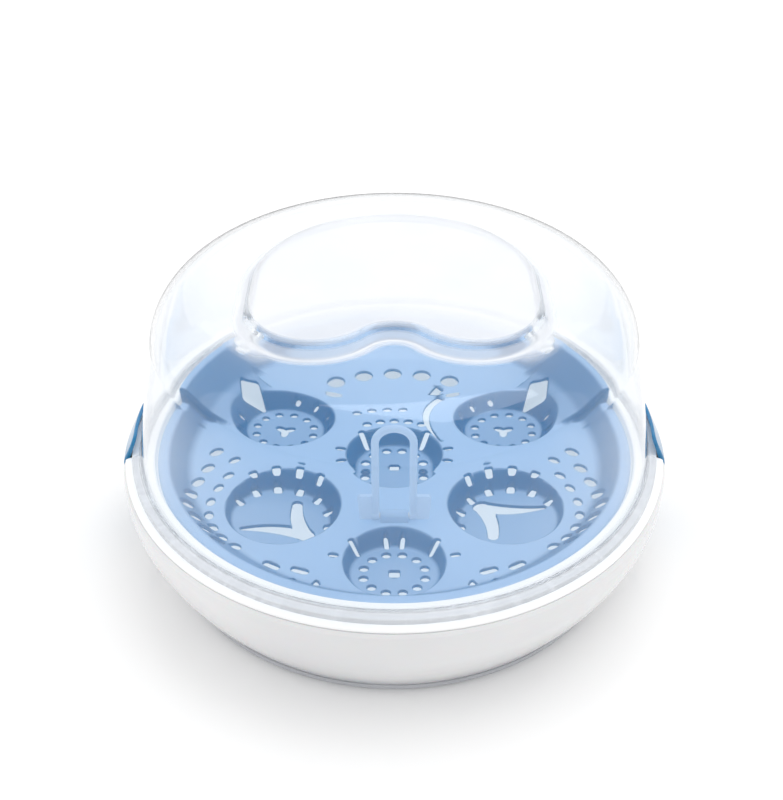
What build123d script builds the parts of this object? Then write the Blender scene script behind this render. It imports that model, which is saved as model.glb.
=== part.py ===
from build123d import *
from math import cos, sin, radians, hypot
import os

# Microwave steam bottle sterilizer: round base, water bowl, lift-out tray, clear lid, two side clips.
# Millimetres.  +Z is up, -Y is the front, and the origin is on the table under the centre.

# ---- base -------------------------------------------------------------------------------
RIM_RADIUS = 140.0          # widest part of the base
RIM_TOP = 60.2              # flat rim that the lid stands on
FOOT_RADIUS = 121.0
FOOT_HEIGHT = 4.0
SHELL_WALL = 2.4
LIP_TOP = 58.4              # upper edge of the outer shell
BOWL_WALL = 2.2
BOWL_FLOOR = 15.0
LEDGE_TOP = 56.2            # step inside the bowl that carries the tray
BEAD_TOP = 62.6             # raised ring that centres the lid

# ---- lid --------------------------------------------------------------------------------
LID_WALL = 2.0
LID_FLANGE_RADIUS = 135.0
LID_FLANGE_TOP = 63.2
LID_WALL_RADIUS = 131.2     # outer wall just above the flange
LID_DRAFT = 0.2             # wall leans in this much per millimetre of height
LID_SHOULDER = 26.3
LID_TOP = 150.6
GRIP_TOP = 157.4            # raised kidney-shaped hand grip
GRIP_SPREAD = 6.0           # how far the grip wall spreads from its top down to its foot

# ---- tray -------------------------------------------------------------------------------
TRAY_RADIUS = 121.8
TRAY_RIM = 60.0
LAND = 50.0                 # flat land between the cups
TRAY_WALL = 2.0
CUP_DEPTH = 11.0
CORNER_START = 12.0         # degrees from the X axis to each raised rear corner
CORNER_SWEEP = 29.5

# ---- handle -----------------------------------------------------------------------------
HANDLE_Y = -54.0
HANDLE_PIVOT = 52.8
HANDLE_TOP = 107.0
HANDLE_SPAN = 18.2          # between the centres of the two legs
HANDLE_BAR = 3.7
HANDLE_PIN = 1.25

# ---- clips ------------------------------------------------------------------------------
CLIP_HALF = 7.5             # degrees each side of the X axis
POCKET_HALF = 8.4
CLIP_AXIS_R = 134.4
CLIP_AXIS_Z = 22.0
CLIP_PIN = 1.6
CLIP_KNUCKLE = 9.8          # half width of the clip's own knuckle
CLIP_LUG = 3.2

os.makedirs("parts", exist_ok=True)


def polar(radius, degrees):
    return (radius * cos(radians(degrees)), radius * sin(radians(degrees)))


def ring_sector(points, start, arc):
    """Turn a closed outline, given as radius and height, through part of a circle."""
    with BuildPart() as sector:
        with BuildSketch(Plane.XZ.rotated((0, 0, start))):
            with BuildLine():
                Polyline(*points, close=True)
            make_face()
        revolve(axis=Axis.Z, revolution_arc=arc)
    return sector.part


# ---- foot ring --------------------------------------------------------------------------
with BuildPart() as foot_ring:
    with BuildSketch(Plane.XZ):
        with BuildLine():
            Polyline(
                (FOOT_RADIUS - 10, 0.8),
                (FOOT_RADIUS - 9, 0),
                (FOOT_RADIUS - 1.6, 0),
                (FOOT_RADIUS, 1.8),
                (FOOT_RADIUS, FOOT_HEIGHT),
                (FOOT_RADIUS - 4, FOOT_HEIGHT),
                (FOOT_RADIUS - 4, FOOT_HEIGHT + 1.2),
                (FOOT_RADIUS - 7, FOOT_HEIGHT + 1.2),
                (FOOT_RADIUS - 7, FOOT_HEIGHT),
                (FOOT_RADIUS - 10, FOOT_HEIGHT),
                close=True,
            )
        make_face()
    revolve(axis=Axis.Z)

# ---- base shell -------------------------------------------------------------------------
# Bowl-shaped outer skin with a closed floor, a groove for the foot ring and a rolled lip.
floor_top = FOOT_HEIGHT + SHELL_WALL

# Pocket that each clip lies in, and the thicker wall behind it.
pocket = [
    (150, 17.0),
    (129.4, 17.0),
    (130.4, 20.0),
    (130.4, 26.0),
    (132.8, 28.4),
    (134.5, 34.0),
    (136.0, 42.0),
    (136.4, 50.0),
    (135.4, 57.0),
    (135.4, 64.0),
    (150, 64.0),
]
pocket_backing = [
    (126.8, 16.0),
    (128.6, 19.2),
    (131.6, 25.0),
    (134.0, 29.5),
    (136.2, 35.0),
    (138.0, 41.5),
    (138.4, 57.2),
    (133.4, 57.2),
    (133.4, 50.0),
    (132.0, 36.0),
    (129.8, 28.6),
    (127.8, 26.0),
    (125.6, 16.6),
]

with BuildPart() as base_shell:
    with BuildSketch(Plane.XZ):
        with BuildLine():
            outer = Bezier((FOOT_RADIUS - 0.7, FOOT_HEIGHT), (141.3, 34.7), (RIM_RADIUS, 52.0))
            Line(outer @ 1, (RIM_RADIUS, 56.2))
            Line((RIM_RADIUS, 56.2), (138.9, LIP_TOP))
            Line((138.9, LIP_TOP), (RIM_RADIUS - SHELL_WALL, LIP_TOP))
            Line((RIM_RADIUS - SHELL_WALL, LIP_TOP), (RIM_RADIUS - SHELL_WALL, 52.0))
            inner = Bezier((RIM_RADIUS - SHELL_WALL, 52.0), (138.6, 35.6), (117.6, floor_top))
            Line(inner @ 1, (0, floor_top))
            Line((0, floor_top), (0, FOOT_HEIGHT))
            Line((0, FOOT_HEIGHT), outer @ 0)
        make_face()
    revolve(axis=Axis.Z)
    # groove for the tongue of the foot ring
    with BuildSketch(Plane.XY.offset(FOOT_HEIGHT)):
        Circle(FOOT_RADIUS - 4)
        Circle(FOOT_RADIUS - 7, mode=Mode.SUBTRACT)
    extrude(amount=1.2, mode=Mode.SUBTRACT)
    # upstanding ring that the water bowl rests on, with gaps for drainage
    with BuildSketch(Plane.XY.offset(floor_top)):
        Circle(66)
        Circle(63.6, mode=Mode.SUBTRACT)
        with PolarLocations(64.8, 6):
            Rectangle(8, 12, mode=Mode.SUBTRACT)
    extrude(amount=BOWL_FLOOR - BOWL_WALL - floor_top)
    for side in (0, 180):
        add(ring_sector(pocket_backing, side - 11, 22))
    for side in (0, 180):
        add(ring_sector(pocket, side - POCKET_HALF, 2 * POCKET_HALF), mode=Mode.SUBTRACT)
    # two hinge lugs below each pocket
    for side in (-1, 1):
        for y in (-12.4, 12.4):
            with BuildSketch(Plane.XZ.offset(-y - 1.9)):
                with BuildLine():
                    Polyline(
                        (side * 128.2, CLIP_AXIS_Z - 5.5),
                        (side * CLIP_AXIS_R, CLIP_AXIS_Z - CLIP_LUG),
                        (side * (CLIP_AXIS_R + CLIP_LUG), CLIP_AXIS_Z),
                        (side * (CLIP_AXIS_R + 1.2), CLIP_AXIS_Z + 2.9),
                        (side * 131.2, CLIP_AXIS_Z + 3.4),
                        close=True,
                    )
                make_face()
            extrude(amount=3.8)
        with Locations(Location((side * CLIP_AXIS_R, 0, CLIP_AXIS_Z), (90, 0, 0))):
            Cylinder(CLIP_PIN + 0.02, 40, mode=Mode.SUBTRACT)

# ---- water bowl -------------------------------------------------------------------------
with BuildPart() as water_bowl:
    with BuildSketch(Plane.XZ):
        with BuildLine():
            Polyline(
                (0, BOWL_FLOOR),
                (105.0, BOWL_FLOOR),
                (116.4, LEDGE_TOP),
                (122.6, LEDGE_TOP),
                (123.0, BEAD_TOP - 0.8),
                (123.8, BEAD_TOP),
                (126.6, BEAD_TOP),
                (127.4, BEAD_TOP - 0.8),
                (127.7, RIM_TOP),
                (138.0, RIM_TOP),
                (138.7, RIM_TOP - 0.6),
                (138.7, LIP_TOP + 0.5),
                (138.0, LIP_TOP),
                (125.2, LIP_TOP),
                (125.0, LEDGE_TOP - BOWL_WALL),
                (118.2, LEDGE_TOP - BOWL_WALL),
                (107.1, BOWL_FLOOR - BOWL_WALL),
                (0, BOWL_FLOOR - BOWL_WALL),
                close=True,
            )
        make_face()
    revolve(axis=Axis.Z)
    floor_corner = water_bowl.edges().filter_by(GeomType.CIRCLE).filter_by_position(
        Axis.Z, BOWL_FLOOR - 0.01, BOWL_FLOOR + 0.01
    )
    fillet(floor_corner, 9.0)
    under_corner = water_bowl.edges().filter_by(GeomType.CIRCLE).filter_by_position(
        Axis.Z, BOWL_FLOOR - BOWL_WALL - 0.01, BOWL_FLOOR - BOWL_WALL + 0.01
    )
    fillet(under_corner, 10.5)
    # the rim is cut back where the clips pass it
    for side in (0, 180):
        add(ring_sector(pocket, side - POCKET_HALF, 2 * POCKET_HALF), mode=Mode.SUBTRACT)


# ---- lid --------------------------------------------------------------------------------
GRIP_REAR = 66.0            # radius of the rear arc
GRIP_REAR_Y = -5.0
LOBE_RADIUS = 30.0
LOBE_X = 36.0
LOBE_Y = -31.0
GRIP_FRONT_Y = -45.5        # deepest point of the hollow front edge


def grip_outline(grow, height):
    """Kidney outline: one rear arc, two lobes and a hollow front, all tangent."""
    rise = LOBE_Y - GRIP_FRONT_Y
    hollow = (LOBE_X ** 2 + rise ** 2 - LOBE_RADIUS ** 2) / (2 * (LOBE_RADIUS - rise))
    hollow_y = GRIP_FRONT_Y - hollow
    reach = LOBE_RADIUS + grow
    span = hypot(LOBE_X, LOBE_Y - hollow_y)
    away_x = LOBE_X / span
    away_y = (LOBE_Y - hollow_y) / span
    touch = (LOBE_X - reach * away_x, LOBE_Y - reach * away_y)
    rear = GRIP_REAR + grow
    with BuildSketch(Plane.XY.offset(height)) as outline:
        with BuildLine():
            ThreePointArc((-rear, GRIP_REAR_Y), (0, GRIP_REAR_Y + rear), (rear, GRIP_REAR_Y))
            Line((rear, GRIP_REAR_Y), (LOBE_X + reach, LOBE_Y))
            ThreePointArc(
                (LOBE_X + reach, LOBE_Y),
                (LOBE_X + reach * cos(radians(-60)), LOBE_Y + reach * sin(radians(-60))),
                touch,
            )
            ThreePointArc(touch, (0, GRIP_FRONT_Y - grow), (-touch[0], touch[1]))
            ThreePointArc(
                (-touch[0], touch[1]),
                (-LOBE_X - reach * cos(radians(-60)), LOBE_Y + reach * sin(radians(-60))),
                (-LOBE_X - reach, LOBE_Y),
            )
            Line((-LOBE_X - reach, LOBE_Y), (-rear, GRIP_REAR_Y))
        make_face()
    return outline.sketch


def grip_block(grow, foot, top, rounding):
    with BuildPart() as block:
        loft(sections=[grip_outline(grow + GRIP_SPREAD, foot), grip_outline(grow, top)])
        fillet(block.faces().sort_by(Axis.Z)[-1].edges(), rounding)
    return block.part


shoulder_radius = LID_WALL_RADIUS - LID_DRAFT * (LID_TOP - LID_FLANGE_TOP)
with BuildPart() as lid:
    with BuildSketch(Plane.XZ):
        with BuildLine():
            Polyline(
                (0, LID_TOP + 1.4),
                (shoulder_radius, LID_TOP),
                (LID_WALL_RADIUS, LID_FLANGE_TOP),
                (LID_FLANGE_RADIUS - 0.8, LID_FLANGE_TOP),
                (LID_FLANGE_RADIUS, LID_FLANGE_TOP - 0.8),
                (LID_FLANGE_RADIUS, RIM_TOP),
                (128.3, RIM_TOP),
                (128.3, LID_FLANGE_TOP - 0.4),
                (LID_WALL_RADIUS - LID_WALL - 0.1, LID_FLANGE_TOP + 1.2),
                (shoulder_radius - LID_WALL, LID_TOP - LID_WALL),
                (0, LID_TOP + 1.4 - LID_WALL),
                close=True,
            )
        make_face()
    revolve(axis=Axis.Z)
    outer_shoulder = lid.edges().filter_by(GeomType.CIRCLE).filter_by_position(
        Axis.Z, LID_TOP - 0.01, LID_TOP + 0.01
    )
    fillet(outer_shoulder, LID_SHOULDER)
    inner_shoulder = lid.edges().filter_by(GeomType.CIRCLE).filter_by_position(
        Axis.Z, LID_TOP - LID_WALL - 0.01, LID_TOP - LID_WALL + 0.01
    )
    fillet(inner_shoulder, LID_SHOULDER - LID_WALL)
    flange_root = lid.edges().filter_by(GeomType.CIRCLE).filter_by_position(
        Axis.Z, LID_FLANGE_TOP - 0.01, LID_FLANGE_TOP + 0.01
    ).sort_by(SortBy.RADIUS)[0]
    fillet(flange_root, 1.6)
    add(grip_block(0, LID_TOP - 0.6, GRIP_TOP, 3.0))
    add(grip_block(-LID_WALL, LID_TOP - 3.4, GRIP_TOP - LID_WALL, 1.6), mode=Mode.SUBTRACT)
    # the flange is cut back where the clips reach the wall
    gap = [
        (131.35, RIM_TOP - 1),
        (140, RIM_TOP - 1),
        (140, LID_FLANGE_TOP + 4),
        (131.35, LID_FLANGE_TOP + 4),
    ]
    for side in (0, 180):
        add(ring_sector(gap, side - 9.4, 18.8), mode=Mode.SUBTRACT)

# ---- tray -------------------------------------------------------------------------------
CENTRE = (0, -4)
REAR_CUP = (61, 30)
SIDE_CUP = (57, -44.5)
FRONT_CUP = (0, -85.5)
CORNER_SLOT = (80.5, 53.5)
# distance from the side cup's centre and angle round it of each oval hole outside the cup
OUTER_ARC = ((57.5, 40), (50.0, 52.3), (47.2, 66), (45.4, 80.5), (44.8, 96), (44.5, 110.6), (44.5, 125), (44.5, 139))
INNER_ARC = ((45.7, 35.6), (37.4, 49), (35.2, 65.6), (34.8, 84), (34.8, 101), (34.8, 117.5), (34.8, 132.5), (34.8, 147.5))


def cup(floor_radius, top_radius, grow):
    """Tapered cup with its floor at z = 0, drawn larger by grow for the outside skin."""
    top = CUP_DEPTH + 9
    slope = (top_radius - floor_radius) / CUP_DEPTH
    wide = floor_radius + grow * 0.9
    with BuildPart() as body:
        with BuildSketch(Plane.XZ):
            with BuildLine():
                Polyline(
                    (0, -grow),
                    (wide, -grow),
                    (wide + slope * (top + grow), top),
                    (0, top),
                    close=True,
                )
            make_face()
        revolve(axis=Axis.Z)
        fillet(body.faces().sort_by(Axis.Z)[0].edges(), 2.5 + grow)
    return body.part


# place, floor height, floor radius, top radius, tilt about X and about Y in degrees
floor = LAND - CUP_DEPTH
cups = [
    (CENTRE, floor, 21.0, 25.5, 0, 0),
    ((-REAR_CUP[0], REAR_CUP[1]), floor, 22.0, 28.5, 0, 0),
    (REAR_CUP, floor, 22.0, 28.5, 0, 0),
    ((-SIDE_CUP[0], SIDE_CUP[1]), floor + 2.5, 25.0, 29.5, -4.0, 5.0),
    (SIDE_CUP, floor + 2.5, 25.0, 29.5, -4.0, -5.0),
    (FRONT_CUP, floor + 4.5, 21.5, 26.0, -7.0, 0),
]

# the outside of each cup is trimmed off half a wall below the tray's upper surface
under_land = LAND - TRAY_WALL / 2
ramp_cover = [(0, under_land), (105.9, under_land), (115.2, 57.9), (140, 57.9), (140, 100), (0, 100)]
corner_cover = [
    (0, under_land),
    (92.3, under_land),
    (104.4, 55.2),
    (116.6, 66.6),
    (140, 66.6),
    (140, 100),
    (0, 100),
]

with BuildPart() as tray:
    for place, height, low, high, about_x, about_y in cups:
        cover = corner_cover if place[1] > 0 else ramp_cover
        with BuildPart(mode=Mode.PRIVATE) as skin:
            with Locations(Location((place[0], place[1], height), (about_x, about_y, 0))):
                add(cup(low, high, TRAY_WALL))
            add(ring_sector(cover, 0, 360), mode=Mode.SUBTRACT)
        add(skin.part)
    with BuildSketch(Plane.XZ):
        with BuildLine():
            Polyline(
                (0, LAND),
                (106.5, LAND),
                (115.5, TRAY_RIM - 1.4),
                (117.4, TRAY_RIM),
                (TRAY_RADIUS - 0.8, TRAY_RIM),
                (TRAY_RADIUS, TRAY_RIM - 0.8),
                (TRAY_RADIUS, LEDGE_TOP),
                (TRAY_RADIUS - 2.0, LEDGE_TOP),
                (TRAY_RADIUS - 2.0, TRAY_RIM - 2.2),
                (117.6, TRAY_RIM - 2.4),
                (107.3, LAND - TRAY_WALL),
                (0, LAND - TRAY_WALL),
                close=True,
            )
        make_face()
    revolve(axis=Axis.Z)
    # raised corners at the rear left and rear right
    corner = [
        (92.0, LAND - 1.2),
        (92.0, LAND),
        (104.0, 56.0),
        (116.6, 68.0),
        (118.0, 69.0),
        (TRAY_RADIUS - 0.6, 69.0),
        (TRAY_RADIUS, 68.4),
        (TRAY_RADIUS, TRAY_RIM - 1.0),
        (TRAY_RADIUS - 2.0, TRAY_RIM - 1.0),
        (TRAY_RADIUS - 2.0, 67.0),
        (118.6, 67.0),
        (104.9, 54.1),
        (94.1, LAND - 1.2),
    ]
    corner_end = corner[:8] + [(112.0, TRAY_RIM - 3.2), (106.0, LAND - 1.2)]
    for start in (CORNER_START, 180 - CORNER_START - CORNER_SWEEP):
        add(ring_sector(corner, start, CORNER_SWEEP))
        add(ring_sector(corner_end, start, 1.0))
        add(ring_sector(corner_end, start + CORNER_SWEEP - 1.0, 1.0))
    for place, height, low, high, about_x, about_y in cups:
        spot = Location((place[0], place[1], height), (about_x, about_y, 0))
        with Locations(spot):
            add(cup(low, high, 0), mode=Mode.SUBTRACT)
    # hinge block for the handle
    with Locations((0, HANDLE_Y, (LAND + HANDLE_PIVOT) / 2 - 0.5)):
        Box(HANDLE_SPAN - HANDLE_BAR - 0.8, 5.2, HANDLE_PIVOT - LAND + 1)
    with Locations(Location((0, HANDLE_Y, HANDLE_PIVOT), (0, 90, 0))):
        Cylinder(2.6, HANDLE_SPAN - HANDLE_BAR - 0.8)
        Cylinder(HANDLE_PIN + 0.04, 40, mode=Mode.SUBTRACT)


def around(centre, radius, degrees):
    """Point at a distance and direction from a cup centre."""
    step = polar(radius, degrees)
    return (centre[0] + step[0], centre[1] + step[1])


def held_in(point, limit):
    """Pull a point back towards the middle until it lies inside a radius."""
    reach = hypot(point[0], point[1])
    keep = min(1.0, limit / reach)
    return (point[0] * keep, point[1] * keep)


def openings(side):
    """Holes and slots of one half of the tray: side is -1 for the left, 1 for the right."""
    rear = (side * REAR_CUP[0], REAR_CUP[1])
    flank = (side * SIDE_CUP[0], SIDE_CUP[1])
    turn = 0 if side > 0 else 180
    with BuildSketch(Plane.XY.offset(LAND - 20)) as holes:
        # rear cup: ring in the floor, ring in the wall, three-lobed centre
        for step in range(12):
            with Locations(around(rear, 16.5, 30 * step + 15)):
                Circle(2.1)
        for step in range(12):
            angle = turn + side * (105 + 27 * step)
            if step < 11:
                with Locations(around(rear, 25.6, angle)):
                    Circle(2.0)
        for lobe in range(3):
            with Locations(Location((*around(rear, 1.9, 120 * lobe + 25), 0), (0, 0, 120 * lobe + 25))):
                Ellipse(4.2, 2.2)
        # tall opening behind the rear cup
        with Locations(Location((side * CORNER_SLOT[0], CORNER_SLOT[1], 0), (0, 0, -side * 12))):
            Trapezoid(13.0, 14.0, 84)
        # side cup: two rows of slots in the rear wall
        for step in range(7):
            angle = 90 - side * (62 - 27 * step)
            with Locations(Location((*around(flank, 24.6, angle), 0), (0, 0, angle))):
                RectangleRounded(5.2, 4.2, 1.2)
        for step in range(4):
            angle = 90 - side * (8 - 23 * (step - 1))
            with Locations(Location((*around(flank, 30.4, angle), 0), (0, 0, angle))):
                RectangleRounded(4.2, 4.4, 1.2)
        # two arcs of oval holes outside the side cup
        for radius, turned in OUTER_ARC:
            angle = 90 - side * turned
            spot = held_in(around(flank, radius, angle), 112.5)
            with Locations(Location((spot[0], spot[1], 0), (0, 0, angle))):
                Ellipse(2.9, 3.8)
        for radius, turned in INNER_ARC:
            angle = 90 - side * turned
            with Locations(Location((*around(flank, radius, angle), 0), (0, 0, angle))):
                Ellipse(2.2, 3.1)
        # front corner: two long ovals and two drop-shaped holes
        for x, y, lean in ((57.5, -86.5, 30), (44.0, -90.0, 20)):
            with Locations(Location((side * x, y, 0), (0, 0, side * lean))):
                SlotOverall(9.0, 3.2)
        for x, y in ((46.5, -97.8), (36.0, -98.5)):
            with Locations((side * x, y)):
                RegularPolygon(2.9, 3, rotation=90)
        # side of the centre dish and of the front dish
        for angle in (8, -14):
            lean = turn + side * angle
            with Locations(Location((*around(CENTRE, 28.8, lean), 0), (0, 0, lean))):
                SlotOverall(5.4, 2.4)
        with Locations(Location((*around(CENTRE, 24.6, 90 - side * 42), 0), (0, 0, 90 - side * 42))):
            SlotOverall(7.0, 4.2)
        with Locations(Location((*around(FRONT_CUP, 24.6, 90 - side * 52), 0), (0, 0, 90 - side * 52))):
            SlotOverall(6.4, 3.4)
        with Locations(Location((*around(FRONT_CUP, 29.5, 90 - side * 78), 0), (0, 0, 90 - side * 78))):
            SlotOverall(5.0, 2.6)
    return holes.sketch


def boomerang(centre, towards, spread):
    """Bent opening in the floor of a side cup: a short blunt arm and a long tapering one."""
    with BuildSketch(Plane.XY.offset(LAND - 20)) as bent:
        for swing, arm, tip in ((-spread, 25.0, 2.7), (spread, 31.0, 1.3)):
            corner = around(centre, 17.0, towards)
            reach = towards + 180 + swing
            end = around(corner, arm, reach)
            middle = around(corner, arm * 0.5, reach - swing * 0.22)
            with BuildLine():
                root_a = around(corner, 4.6, reach + 90)
                root_b = around(corner, 4.6, reach - 90)
                end_a = around(end, tip, reach + 90)
                end_b = around(end, tip, reach - 90)
                ThreePointArc(root_a, around(middle, 3.5, reach + 90), end_a)
                ThreePointArc(end_a, around(end, tip, reach), end_b)
                ThreePointArc(end_b, around(middle, 3.5, reach - 90), root_b)
                Line(root_b, root_a)
            make_face()
        with Locations(around(centre, 17.0, towards)):
            Circle(4.6)
    return bent.sketch


with BuildPart() as tray_cuts:
    for side in (-1, 1):
        extrude(openings(side), amount=45)
    extrude(boomerang((-SIDE_CUP[0], SIDE_CUP[1]), -40, 37), amount=45)
    extrude(boomerang(SIDE_CUP, 136, 37), amount=45)
    with BuildSketch(Plane.XY.offset(LAND - 20)):
        with Locations(CENTRE):
            with PolarLocations(16.0, 12, start_angle=15):
                Circle(2.4)
            RectangleRounded(5.0, 5.0, 0.8)
        with Locations(FRONT_CUP):
            with PolarLocations(15.0, 12, start_angle=15):
                Circle(2.2)
            RectangleRounded(5.2, 5.2, 0.8)
        for step in range(2):
            with Locations(around(FRONT_CUP, 22.6, 80 + 20 * step)):
                SlotOverall(5.6, 2.4)
        # rows of holes in the land behind the centre dish
        for step in range(5):
            with Locations(around(CENTRE, 31.5, 62 + 14 * step)):
                Circle(2.4)
        for step in range(4):
            with Locations(around(CENTRE, 45.0, 84 + 11 * step)):
                Circle(2.4)
        for step in range(5):
            with Locations(around(CENTRE, 73.5, 64.5 + 13.1 * step)):
                Circle(5.0)
        # tapering crescent beside the right rear cup
        with BuildLine():
            crescent_top = around(REAR_CUP, 46.5, 143)
            crescent_tip = around(REAR_CUP, 42.5, 213)
            ThreePointArc(crescent_top, around(REAR_CUP, 45.4, 178), crescent_tip)
            ThreePointArc(crescent_tip, around(REAR_CUP, 41.9, 178), around(REAR_CUP, 41.0, 145))
            Line(around(REAR_CUP, 41.0, 145), crescent_top)
        make_face()
    extrude(amount=45)

with BuildPart() as tray_whole:
    add(tray.part)
    add(tray_cuts.part, mode=Mode.SUBTRACT)

# ---- tray handle ------------------------------------------------------------------------
leg = HANDLE_SPAN / 2
arch_centre = HANDLE_TOP - HANDLE_BAR / 2 - leg
with BuildPart() as tray_handle:
    with BuildLine():
        rise_left = Line((-leg, HANDLE_Y, HANDLE_PIVOT - 0.4), (-leg, HANDLE_Y, arch_centre))
        arch = ThreePointArc(rise_left @ 1, (0, HANDLE_Y, arch_centre + leg), (leg, HANDLE_Y, arch_centre))
        Line(arch @ 1, (leg, HANDLE_Y, HANDLE_PIVOT - 0.4))
    with BuildSketch(Plane((-leg, HANDLE_Y, HANDLE_PIVOT - 0.4))):
        RectangleRounded(HANDLE_BAR, 3.4, 1.3)
    sweep()
    # flat ears that stand beside the legs
    for side in (-1, 1):
        with BuildSketch(Plane.XZ.offset(-HANDLE_Y - 1.2)):
            with BuildLine():
                Polyline(
                    (side * leg, HANDLE_PIVOT - 2.1),
                    (side * 16.9, HANDLE_PIVOT - 2.1),
                    (side * 17.9, LAND + 14.0),
                    (side * 16.7, LAND + 15.4),
                    (side * leg, LAND + 15.4),
                    close=True,
                )
            make_face()
        extrude(amount=2.4)
    # rounded feet around the pivot
    for side in (-1, 1):
        with Locations(Location((side * leg, HANDLE_Y, HANDLE_PIVOT), (0, 90, 0))):
            Cylinder(2.3, HANDLE_BAR)
    with Locations(Location((0, HANDLE_Y, HANDLE_PIVOT), (0, 90, 0))):
        Cylinder(HANDLE_PIN + 0.02, 60, mode=Mode.SUBTRACT)

with BuildPart() as handle_pin:
    with Locations(Location((0, HANDLE_Y, HANDLE_PIVOT), (0, 90, 0))):
        Cylinder(HANDLE_PIN, HANDLE_SPAN + HANDLE_BAR)
    chamfer(handle_pin.edges().filter_by(GeomType.CIRCLE), 0.3)


# ---- clips ------------------------------------------------------------------------------
def clip(side):
    """Curved catch: a plate that follows the base and leans in over the lid flange."""
    turn = 0 if side > 0 else 180
    with BuildPart() as body:
        with BuildSketch(Plane.XZ.rotated((0, 0, turn - CLIP_HALF))):
            with BuildLine():
                face = Bezier((135.8, 27.6), (140.6, 40.5), (140.7, 52.0))
                bend = Bezier((140.7, 52.0), (140.6, 56.6), (138.9, 59.6))
                lean = Line((138.9, 59.6), (133.9, 69.8))
                tip = ThreePointArc((133.9, 69.8), (132.8, 70.7), (131.9, 69.4))
                back = Line((131.9, 69.4), (136.0, 59.8))
                Bezier(back @ 1, (137.2, 57.0), (137.3, 52.0))
                inner = Bezier((137.3, 52.0), (137.3, 42.0), (133.6, 28.4))
                Line(inner @ 1, face @ 0)
            make_face()
        revolve(axis=Axis.Z, revolution_arc=2 * CLIP_HALF)
        # thumb ridge across the lower part
        with BuildSketch(Plane.XZ.rotated((0, 0, turn - CLIP_HALF + 1.5))):
            with BuildLine():
                ThreePointArc((137.0, 34.6), (140.4, 36.8), (138.8, 40.0))
                Line((138.8, 40.0), (137.0, 34.6))
            make_face()
        revolve(axis=Axis.Z, revolution_arc=2 * CLIP_HALF - 3)
        # knuckle and web
        with Locations(Location((side * CLIP_AXIS_R, 0, CLIP_AXIS_Z), (90, 0, 0))):
            Cylinder(CLIP_LUG, 2 * CLIP_KNUCKLE)
        with BuildSketch(Plane.XZ.offset(-CLIP_KNUCKLE)):
            with BuildLine():
                Polyline(
                    (side * (CLIP_AXIS_R - 2.2), CLIP_AXIS_Z + 1.0),
                    (side * (CLIP_AXIS_R + 2.9), CLIP_AXIS_Z + 1.0),
                    (side * 136.0, 29.0),
                    (side * 133.9, 29.0),
                    close=True,
                )
            make_face()
        extrude(amount=2 * CLIP_KNUCKLE)
        with Locations(Location((side * CLIP_AXIS_R, 0, CLIP_AXIS_Z), (90, 0, 0))):
            Cylinder(CLIP_PIN + 0.06, 60, mode=Mode.SUBTRACT)
    return body.part


def clip_pin(side):
    with BuildPart() as body:
        with Locations(Location((side * CLIP_AXIS_R, 0, CLIP_AXIS_Z), (90, 0, 0))):
            Cylinder(CLIP_PIN, 28.4)
        chamfer(body.edges().filter_by(GeomType.CIRCLE), 0.35)
    return body.part


pieces = {
    "foot_ring": foot_ring.part,
    "base_shell": base_shell.part,
    "water_bowl": water_bowl.part,
    "lid": lid.part,
    "tray": tray_whole.part,
    "tray_handle": tray_handle.part,
    "handle_pin": handle_pin.part,
    "clip_left": clip(-1),
    "clip_right": clip(1),
    "clip_pin_left": clip_pin(-1),
    "clip_pin_right": clip_pin(1),
}
for name, piece in pieces.items():
    piece.label = name
    export_step(piece, f"parts/{name}.step")
    print(name, round(piece.volume / 1000, 1), "cm3", len(piece.solids()), "solid", piece.is_valid)
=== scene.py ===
import math

import bmesh
import bpy
import numpy as np
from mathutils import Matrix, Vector
from mathutils.geometry import delaunay_2d_cdt
from mathutils.kdtree import KDTree


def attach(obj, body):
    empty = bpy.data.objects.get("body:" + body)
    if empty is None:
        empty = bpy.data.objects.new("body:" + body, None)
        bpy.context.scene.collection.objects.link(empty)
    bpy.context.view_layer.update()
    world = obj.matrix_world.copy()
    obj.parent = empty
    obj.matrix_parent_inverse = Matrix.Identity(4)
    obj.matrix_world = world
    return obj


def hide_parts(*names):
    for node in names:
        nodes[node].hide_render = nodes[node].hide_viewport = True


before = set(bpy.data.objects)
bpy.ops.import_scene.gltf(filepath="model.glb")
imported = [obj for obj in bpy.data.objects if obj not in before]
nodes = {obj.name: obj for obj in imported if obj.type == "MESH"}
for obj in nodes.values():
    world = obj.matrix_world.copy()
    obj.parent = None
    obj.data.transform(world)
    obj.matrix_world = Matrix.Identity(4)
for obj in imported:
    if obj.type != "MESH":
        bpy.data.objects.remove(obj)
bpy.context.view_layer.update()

# Bottle sterilizer.  Lengths in this script are millimetres; meshes are written in metres.
MM = 0.001

# ---- mesh helpers


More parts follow.
